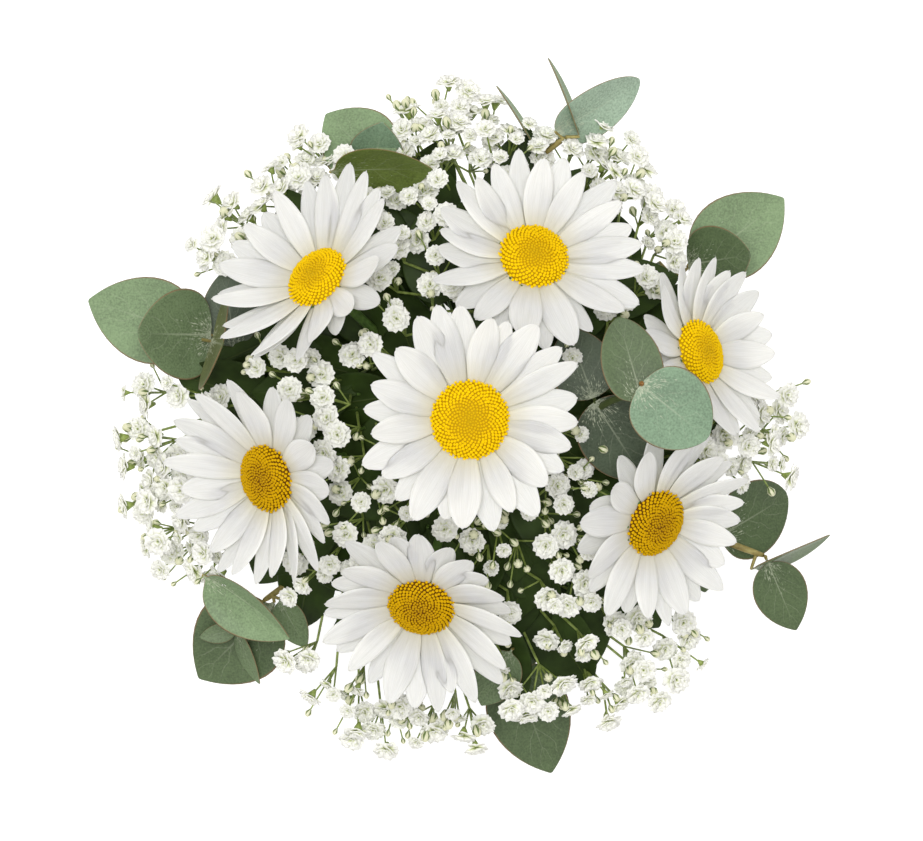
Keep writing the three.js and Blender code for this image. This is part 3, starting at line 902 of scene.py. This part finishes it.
for sprig, leaves in SMALL_LEAVES.items():
    parts = []
    made = []
    for x, y, depth, heading, pitch, roll, length, width, tone in leaves:
        piece = leaf(length, width, SMALL_CURL, LEAF_FINISHES[tone])
        made.append(piece)
        base = under_dome(x, y, depth)
        parts.append((piece.data, moved(base) @ held(heading, pitch, roll)))
        stalk = wires("stalk", [stalk_to(twig_lines[sprig], base)], TWIG_BARK)
        made.append(stalk)
        parts.append((stalk.data, Matrix()))
    small = gathered(f"eucalyptus_{sprig}_small_leaves", parts)
    discard(*made)
    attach(small, "root")

chance = Random(77)
lower = leaf(*LOWER_LEAF, LOWER_CURL, shade_finish())
for ring, (reach, depth, count) in enumerate(LOWER_RINGS):
    parts = []
    stalks = []
    for i in range(count):
        azimuth = (i + chance.uniform(-0.25, 0.25)) * 360 / count + RING_TURN * ring
        spot = under_dome(
            reach * cos(radians(azimuth)),
            reach * sin(radians(azimuth)),
            depth + chance.uniform(-5, 5),
        )
        attitude = held(
            azimuth + chance.uniform(-60, 60), chance.uniform(-25, 10), chance.uniform(-25, 25)
        )
        parts.append((lower.data, moved(spot) @ attitude))
        turn = radians(azimuth + STALK_SPIN)
        root = Vector((AXIS.x + BUNDLE_REACH * cos(turn), AXIS.y + BUNDLE_REACH * sin(turn), 0))
        root.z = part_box("tie")[1].z + STALK_ABOVE_TIE
        middle = root.lerp(spot, STALK_BEND[0])
        middle.z = root.z + STALK_BEND[1] * (spot.z - root.z)
        stalks.append(bowed(root, middle, spot, *LOWER_STALK_RADII))
    twigs = wires("stalks", stalks, STEM_GREEN)
    parts.append((twigs.data, Matrix()))
    ring_leaves = gathered(f"lower_leaves_{ring}", parts)
    discard(twigs)
    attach(ring_leaves, "root")
discard(lower)


# Gypsophila
# Baby's breath: wiry twigs that fork again and again and end in double white florets the
# size of a pea and in closed buds, each in a green cup of sepals.

# Each spray's clusters: x, y, open florets, buds
SPRAYS = {
    "top_left": [
        (-88, 56, 3, 2), (-81, 70, 4, 1), (-69, 77, 3, 1), (-61, 86, 2, 3), (-51, 92, 3, 2),
        (-57, 80, 3, 1), (-42, 87, 1, 0), (-74, 61, 1, 2), (-29, 74, 3, 1),
    ],
    "top": [
        (-21, 104, 1, 5), (-11, 106, 1, 2), (-18, 95, 2, 1), (-4, 104, 4, 1), (-7, 96, 3, 1),
        (7, 101, 3, 2), (14, 94, 3, 1), (0, 90, 4, 0), (10, 88, 3, 0), (23, 88, 2, 0),
        (-10, 88, 2, 1), (-15, 75, 2, 1), (-13, 66, 3, 0), (-11, 53, 1, 0), (-14, 42, 1, 1),
        (-4, 42, 2, 0), (-24, 58, 2, 0), (-27, 48, 2, 1), (-25, 33, 2, 1),
    ],
    "top_right": [
        (42, 91, 3, 0), (35, 91, 0, 2), (47, 87, 1, 2), (42, 83, 2, 1), (55, 80, 3, 1),
        (49, 74, 2, 2), (61, 70, 1, 2), (65, 66, 3, 0), (67, 60, 1, 1), (60, 45, 1, 1),
        (51, 36, 1, 1), (18, 32, 1, 1),
    ],
    "right": [
        (96, 10, 0, 3), (105, 8, 0, 1), (99, 2, 1, 2), (106, -4, 2, 1), (94, -7, 3, 2),
        (84, -6, 2, 3), (90, -16, 2, 1), (102, -15, 2, 1), (77, -12, 2, 1), (33, 20, 1, 0),
        (35, -4, 1, 1), (35, -15, 2, 0), (40, -22, 1, 1),
    ],
    "left": [
        (-110, 10, 2, 2), (-96, 9, 1, 0), (-87, 5, 1, 1), (-113, -4, 1, 3), (-106, -7, 2, 2),
        (-114, -15, 2, 2), (-104, -17, 3, 2), (-112, -25, 2, 3), (-102, -26, 2, 2),
        (-94, -23, 2, 1), (-106, -39, 2, 2), (-96, -38, 3, 2), (-100, -45, 2, 1),
        (-92, -49, 1, 0), (-85, -46, 2, 0), (-71, 18, 0, 3), (-58, 19, 2, 0), (-50, 15, 1, 1),
        (-38, 21, 1, 0), (-30, 24, 1, 1), (-58, 8, 0, 3), (-46, 6, 2, 0), (-52, -2, 1, 1),
        (-43, -3, 2, 0), (-41, -14, 1, 1), (-32, -13, 0, 3), (-42, -22, 1, 1),
    ],
    "low_left": [
        (-36, -28, 1, 1), (-29, -22, 1, 2), (-22, -29, 1, 1), (-40, -37, 1, 0),
        (-24, -38, 1, 1), (-36, -46, 2, 0), (-47, -46, 1, 1), (-55, -55, 1, 1),
        (-58, -47, 1, 0), (-55, -80, 2, 2), (-48, -89, 2, 0), (-40, -97, 3, 1),
        (-32, -104, 2, 1), (-38, -89, 1, 2),
    ],
    "bottom": [
        (-25, -95, 0, 3), (-27, -104, 1, 1), (-18, -96, 1, 3), (-13, -103, 1, 2),
        (-5, -98, 1, 3), (0, -104, 2, 1), (-8, -35, 1, 0), (1, -40, 1, 1), (7, -48, 1, 0),
        (11, -42, 1, 0), (14, -63, 1, 1),
    ],
    "low_right": [
        (10, -34, 1, 1), (19, -31, 1, 1), (26, -22, 2, 0), (30, -27, 1, 0), (29, -36, 2, 0),
        (29, -48, 1, 1), (36, -43, 1, 1), (18, -46, 0, 2), (26, -59, 1, 1), (38, -58, 2, 1),
        (31, -75, 1, 1), (39, -76, 1, 2), (48, -68, 1, 1), (57, -67, 1, 2), (73, -71, 1, 3),
        (70, -78, 3, 1), (56, -82, 3, 1), (60, -90, 2, 1), (41, -89, 2, 2), (48, -95, 1, 3),
        (33, -96, 0, 2), (25, -88, 2, 1), (21, -97, 1, 0), (14, -89, 1, 1), (10, -81, 0, 2),
    ],
}
# Clusters lie this far below the dome, less by this much a millimetre outwards, and vary.
SHELL_DEPTH = 28
SHELL_RISE = 0.33
SHELL_SPREAD = 9
CLUSTER_SPREAD = 6.5
FLORET_SPACING = 6.4
BUD_SPACING = 3.6
TWIG_DROP = 12
TWIG_BOW = 6 * MM
FLORET_RADIUS = 4.5
FLORET_PETAL = [(0, 0.3), (0.45, 0.8), (0.8, 1), (1, 0.7)]
# Whorls of a double floret: petals, length, rise
WHORLS = [(8, 1.0, 6), (8, 0.82, 26), (6, 0.6, 44), (4, 0.4, 64)]
FLORET_SIZES = (0.62, 0.8, 0.95, 1, 1.05)
SEPAL_CUP = {"radius1": 0.5 * MM, "radius2": 2 * MM, "depth": 3.2 * MM}
SEPAL_SINK = 1.4 * MM
BUD_RADIUS = 1.9
BUD_STRETCH = (0.86, 0.86, 1.15)
BUD_FOOT = (0.7, 0.7, 1)
# Places for a floret are tried wider and wider apart until one is free.
SEAT_TRIES = 40
FIRST_SPREAD = 0.35
MORE_SPREAD = 0.035
SIDE_TWIGS = 3
YOUNG_REACH = (4, 10)
YOUNG_DROP = 8
YOUNG_LIFT = 2 * MM
YOUNG_SIZES = (0.5, 0.9)
FLORET_TWIG_DIP = 1.5 * MM
FOOT_RAISE = 0.6 * MM
FORK_REACH = 42
FORK_DEPTH = 79
FOOT_CLEARANCE = 8 * MM
# Beyond this reach a cluster has one more floret and turns its florets outwards.
RIM_REACH = 58
KNOT_INWARD = 7 * MM
FOOT_RADIUS = 1.1
FORK_RADIUS = 0.9
TWIG_RADII = (0.6, 0.42)
YOUNG_TWIG_RADII = (0.3, 0.24)
FLORET_TWIG_RADII = (0.36, 0.26)


def petal_finish():
    white = Finish("gypsophila_white", 0.55, Specular_IOR_Level=0.2, Subsurface_Weight=0.15)
    white.shader["Subsurface Radius"].default_value = (1.5 * MM, 1.5 * MM, 1.2 * MM)
    white.shader["Subsurface Scale"].default_value = 1
    along, across = white.along_and_across()
    colour = white.colours(
        along,
        (0.1, (0.36, 0.44, 0.14)),
        (0.3, (0.76, 0.8, 0.52)),
        (0.55, (0.96, 0.96, 0.9)),
    )
    white.feed(white.shader["Base Color"], colour)
    folds = white.maths("SINE", across * 25)
    white.raised(folds * along, 0.25, 0.3 * MM)
    return white.material


def bud_finish():
    cream = Finish("gypsophila_bud", 0.5)
    around, height = cream.along_and_across()
    stripes = cream.maths("SINE", around * (5 * tau)) * 0.5 + 0.5
    green_share = cream.step(stripes + (0.55 - height) * 1.5, 0.55, 0.8)
    colour = cream.over(green_share, (0.72, 0.72, 0.5, 1), (0.13, 0.19, 0.05, 1))
    cream.feed(cream.shader["Base Color"], colour)
    cream.raised(stripes, 0.3, 0.3 * MM)
    return cream.material


def floret_model(petals, sepals):
    """A double floret that faces +Z: whorls of notched petals over a cup of sepals."""
    petal = blade(FLORET_PETAL, 2, 1, 0.78, [(0, -0.04), (0.5, 0.05)])
    bpy.ops.object.mode_set(mode="EDIT")
    pick(lambda spot: spot.x > 0.95 and abs(spot.y) < 0.1)
    bpy.ops.transform.translate(value=(-0.08, 0, 0.03))
    bpy.ops.object.mode_set(mode="OBJECT")
    petal.data.materials.append(petals)
    finished(petal, ("SOLIDIFY", {"thickness": 0.05, "offset": 0}))
    chance = Random(5)
    parts = []
    for number, (count, size, rise) in enumerate(WHORLS):
        for i in range(count):
            azimuth = (i + 0.5 * number + chance.uniform(-0.15, 0.15)) * 360 / count
            tip = turned("Y", -rise - chance.uniform(-9, 9)) @ turned("X", chance.uniform(-20, 20))
            grown = Matrix.Scale(size * FLORET_RADIUS * MM, 4)
            parts.append((petal.data, turned("Z", azimuth) @ tip @ grown))
    bpy.ops.object.select_all(action="DESELECT")
    bpy.ops.mesh.primitive_cone_add(
        vertices=6, location=(0, 0, -SEPAL_SINK), **SEPAL_CUP
    )
    cup = bpy.context.object
    bpy.ops.object.transform_apply()
    cup.data.materials.append(sepals)
    parts.append((cup.data, Matrix()))
    floret = gathered("floret", parts)
    discard(petal, cup)
    return floret


def bud_model(finish):
    """A closed bud that faces +Z, narrowed at its foot and drawn to a blunt tip."""
    bpy.ops.object.select_all(action="DESELECT")
    bpy.ops.mesh.primitive_uv_sphere_add(
        segments=8, ring_count=6, radius=BUD_RADIUS * MM, enter_editmode=True
    )
    bpy.ops.mesh.select_all(action="SELECT")
    bpy.ops.transform.resize(value=BUD_STRETCH, center_override=(0, 0, 0))
    pick(lambda spot: spot.z < -0.5 * BUD_RADIUS * MM)
    bpy.ops.transform.resize(value=BUD_FOOT, center_override=(0, 0, 0))
    bpy.ops.object.mode_set(mode="OBJECT")
    bud = bpy.context.object
    bud.data.materials.append(finish)
    return bud


def pointed(start, end):
    """The turn that faces +Z along the line from start to end."""
    return (end - start).to_track_quat("Z", "Y").to_matrix().to_4x4()


GYPSOPHILA_WHITE = petal_finish()
SEPAL_GREENS = ((0.35, (0.15, 0.21, 0.035)), (0.65, (0.3, 0.38, 0.1)))
GYPSOPHILA_GREEN = mottled_finish("gypsophila_green", 500, 0.3, *SEPAL_GREENS)
floret = floret_model(GYPSOPHILA_WHITE, GYPSOPHILA_GREEN)
bud = bud_model(bud_finish())
chance = Random(21)
taken = []

for name, clusters in SPRAYS.items():
    spray = "gypsophila_" + name
    middle = box_middle(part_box(spray)) - AXIS
    outer = atan2(middle.y, middle.x)
    fork = under_dome(FORK_REACH * cos(outer), FORK_REACH * sin(outer), FORK_DEPTH)
    foot = [(place, FOOT_RADIUS) for place in stem_rings(spray, fork.z - FOOT_CLEARANCE)]
    foot[0][0].z += FOOT_RAISE
    lines = [foot + [(fork, FORK_RADIUS)]]
    parts = []
    for x, y, open_florets, buds in clusters:
        reach = sqrt(x**2 + y**2)
        if reach > RIM_REACH:
            open_florets += 1
        depth = SHELL_DEPTH - SHELL_RISE * reach + chance.uniform(0, SHELL_SPREAD)
        heart = under_dome(x, y, depth)
        inward = Vector((AXIS.x - heart.x, AXIS.y - heart.y, 0)).normalized()
        knot = heart + inward * KNOT_INWARD - Vector((0, 0, TWIG_DROP * MM))
        bow = fork.lerp(knot, 0.5) + Vector((0, 0, TWIG_BOW))
        lines.append(bowed(fork, bow, knot, *TWIG_RADII))
        # Young buds on thin side twigs, fewer at the rim
        for i in range(SIDE_TWIGS if reach < RIM_REACH else 1):
            azimuth = chance.uniform(0, tau)
            away = Vector((cos(azimuth), sin(azimuth), 0)) * chance.uniform(*YOUNG_REACH) * MM
            tip = heart + away - Vector((0, 0, chance.uniform(0, YOUNG_DROP) * MM))
            side = knot.lerp(tip, 0.5) + Vector((0, 0, YOUNG_LIFT))
            lines.append(bowed(knot, side, tip, *YOUNG_TWIG_RADII))
            young = Matrix.Scale(chance.uniform(*YOUNG_SIZES), 4)
            parts.append((bud.data, moved(tip) @ pointed(side, tip) @ young))
        for i in range(open_florets + buds):
            for attempt in range(SEAT_TRIES):
                spread = CLUSTER_SPREAD * (FIRST_SPREAD + MORE_SPREAD * attempt)
                azimuth = chance.uniform(0, tau)
                away = spread * sqrt(chance.random()) if open_florets + buds > 1 else 0
                spot = heart + Vector((cos(azimuth), sin(azimuth), 0)) * away * MM
                spot.z += chance.uniform(-4, 3) * MM
                room = FLORET_SPACING if i < open_florets else BUD_SPACING
                if all((spot - other).length > room * MM for other in taken):
                    break
            taken.append(spot)
            side = knot.lerp(spot, 0.55) - Vector((0, 0, FLORET_TWIG_DIP))
            lines.append(bowed(knot, side, spot, *FLORET_TWIG_RADII))
            # Florets at the rim of the bunch face outwards, and show their green cups.
            outwards = max(0, (reach - RIM_REACH) / RIM_REACH) * chance.uniform(0, 1.7)
            lean = (spot - side).normalized() * 0.7 + Vector((0, 0, 0.75))
            lean -= (inward + Vector((0, 0, 0.8))) * outwards
            lean += Vector((chance.uniform(-0.25, 0.25), chance.uniform(-0.25, 0.25), 0))
            facing = pointed(Vector(), lean) @ turned("Z", chance.uniform(0, 360))
            model = floret if i < open_florets else bud
            size = Matrix.Scale(chance.choice(FLORET_SIZES) * chance.uniform(0.95, 1.05), 4)
            parts.append((model.data, moved(spot) @ facing @ size))
    twigs = wires(spray + "_twigs", lines, GYPSOPHILA_GREEN)
    parts.append((twigs.data, Matrix()))
    whole = gathered(spray + "_spray", parts)
    discard(twigs)
    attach(whole, "root")
    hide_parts(spray)
discard(floret, bud)


# Tie
# Jute twine wound five times round the stems where they cross, and knotted, with two short
# ends. It holds the bunch by its grip alone.

TWINE_RADIUS = 1.3
TWINE_TURNS = 5
TURN_SEGMENTS = 64
LOOP_SEGMENTS = 20
TURN_LEAN = 1.2
SEAM_TURN = 40
KNOT_REACH = 2.4 * MM
KNOT_LOOP = 2 * MM
KNOT_TURN = 55
# The points of a hanging end: outwards, to its side and upwards from the knot
TWINE_END = [(0, 0, 0), (2.5, 3, 1), (3.5, 6, -4), (2.5, 8, -12), (3, 7, -21)]
END_RADIUS = 0.9 * TWINE_RADIUS


def twine_finish():
    jute = Finish("jute_twine", 0.85, Specular_IOR_Level=0.2)
    around, along = jute.along_and_across()
    ply = jute.maths("SINE", around * (90 * tau) + along * (1.5 * tau)) * 0.5 + 0.5
    fibres = jute.mottle(jute.place(), 2500, 3)
    colour = jute.colours(
        ply * 0.6 + fibres * 0.4,
        (0.2, (0.13, 0.08, 0.03)),
        (0.55, (0.36, 0.25, 0.12)),
        (0.85, (0.52, 0.4, 0.22)),
    )
    jute.feed(jute.shader["Base Color"], colour)
    jute.raised(ply + fibres * 0.5, 0.8, 0.5 * MM)
    return jute.material


def twine_ring(reach, segments):
    bpy.ops.object.select_all(action="DESELECT")
    bpy.ops.mesh.primitive_torus_add(
        major_radius=reach,
        minor_radius=TWINE_RADIUS * MM,
        major_segments=segments,
        minor_segments=10,
    )
    ring = bpy.context.object
    ring.data.materials.append(JUTE)
    return ring


JUTE = twine_finish()
tie_low, tie_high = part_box("tie")
tie_reach = (tie_high.y - tie_low.y) / 2
tie_middle = Vector((AXIS.x, (tie_low.y + tie_high.y) / 2, (tie_low.z + tie_high.z) / 2))
parts = []
turns = []
for turn in range(TWINE_TURNS):
    turns.append(twine_ring(tie_reach - TWINE_RADIUS * MM, TURN_SEGMENTS))
    lift = (2 * turn + 1 - TWINE_TURNS) * TWINE_RADIUS * MM
    lean = turned("X", TURN_LEAN * (-1) ** turn) @ turned("Z", SEAM_TURN * turn)
    parts.append((turns[-1].data, moved(tie_middle + Vector((0, 0, lift))) @ lean))
# The knot: two small loops through each other, and the two ends that hang from them.
knot = Vector((tie_high.x - KNOT_REACH, tie_middle.y, tie_middle.z))
for axis in ("X", "Y"):
    turns.append(twine_ring(KNOT_LOOP, LOOP_SEGMENTS))
    parts.append((turns[-1].data, moved(knot) @ turned(axis, KNOT_TURN)))
ends = []
for side in (-1, 1):
    places = [knot + Vector((out, aside * side, up)) * MM for out, aside, up in TWINE_END]
    ends.append([(place, END_RADIUS) for place in places])
loose = wires("twine_ends", ends, JUTE)
parts.append((loose.data, Matrix()))
tie = gathered("twine_tie", parts)
discard(*turns, loose)
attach(tie, "root")
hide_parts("tie")


# Floor, light and camera
# The bunch stands on a pale floor that glows a little, in an even room with one soft lamp.
# The camera looks straight down beside the middle daisy.

FLOOR_SIZE = 6
ROOM_COLOUR = (1, 0.985, 0.96, 1)
ROOM_STRENGTH = 0.65
LAMP_SIZE = 0.8
LAMP_ENERGY = 16
LAMP_PLACE = Vector((-0.08, 0.14, 1.7))
LAMP_AIM = Vector((0, 0, 0.2))
CAMERA_HEIGHT = 1.0
LENS = 125.4
VIEW_OFFSET = Vector((-2.64 * MM, -0.16 * MM, 0))


def floor_finish():
    pale = Finish("pale_floor", 0.9, Specular_IOR_Level=0.1, Emission_Strength=0.45)
    pale.shader["Emission Color"].default_value = (1, 1, 1, 1)
    patches = pale.mottle(pale.place(), 3)
    colour = pale.colours(patches, (0, (0.9, 0.9, 0.9)), (1, (0.93, 0.93, 0.93)))
    pale.feed(pale.shader["Base Color"], colour)
    return pale.material


bpy.ops.object.select_all(action="DESELECT")
bpy.ops.mesh.primitive_plane_add(size=FLOOR_SIZE)
floor = bpy.context.object
floor.name = "floor"
floor.data.materials.append(floor_finish())

world = bpy.data.worlds.new("soft_room")
bpy.context.scene.world = world
world.use_nodes = True
world.node_tree.nodes["Background"].inputs["Color"].default_value = ROOM_COLOUR
world.node_tree.nodes["Background"].inputs["Strength"].default_value = ROOM_STRENGTH

softbox = bpy.data.lights.new("softbox", "AREA")
softbox.size = LAMP_SIZE
softbox.energy = LAMP_ENERGY
lamp = bpy.data.objects.new("softbox", softbox)
lamp.location = LAMP_PLACE
lamp.rotation_euler = (LAMP_AIM - LAMP_PLACE).to_track_quat("-Z", "Y").to_euler()
bpy.context.collection.objects.link(lamp)

camera_data = bpy.data.cameras.new("camera")
camera_data.lens = LENS
camera = bpy.data.objects.new("camera", camera_data)
camera.location = Vector((AXIS.x, AXIS.y, RAY_PLANE * MM + CAMERA_HEIGHT)) + VIEW_OFFSET
bpy.context.collection.objects.link(camera)
bpy.context.scene.camera = camera
bpy.context.scene.view_settings.view_transform = "Standard"
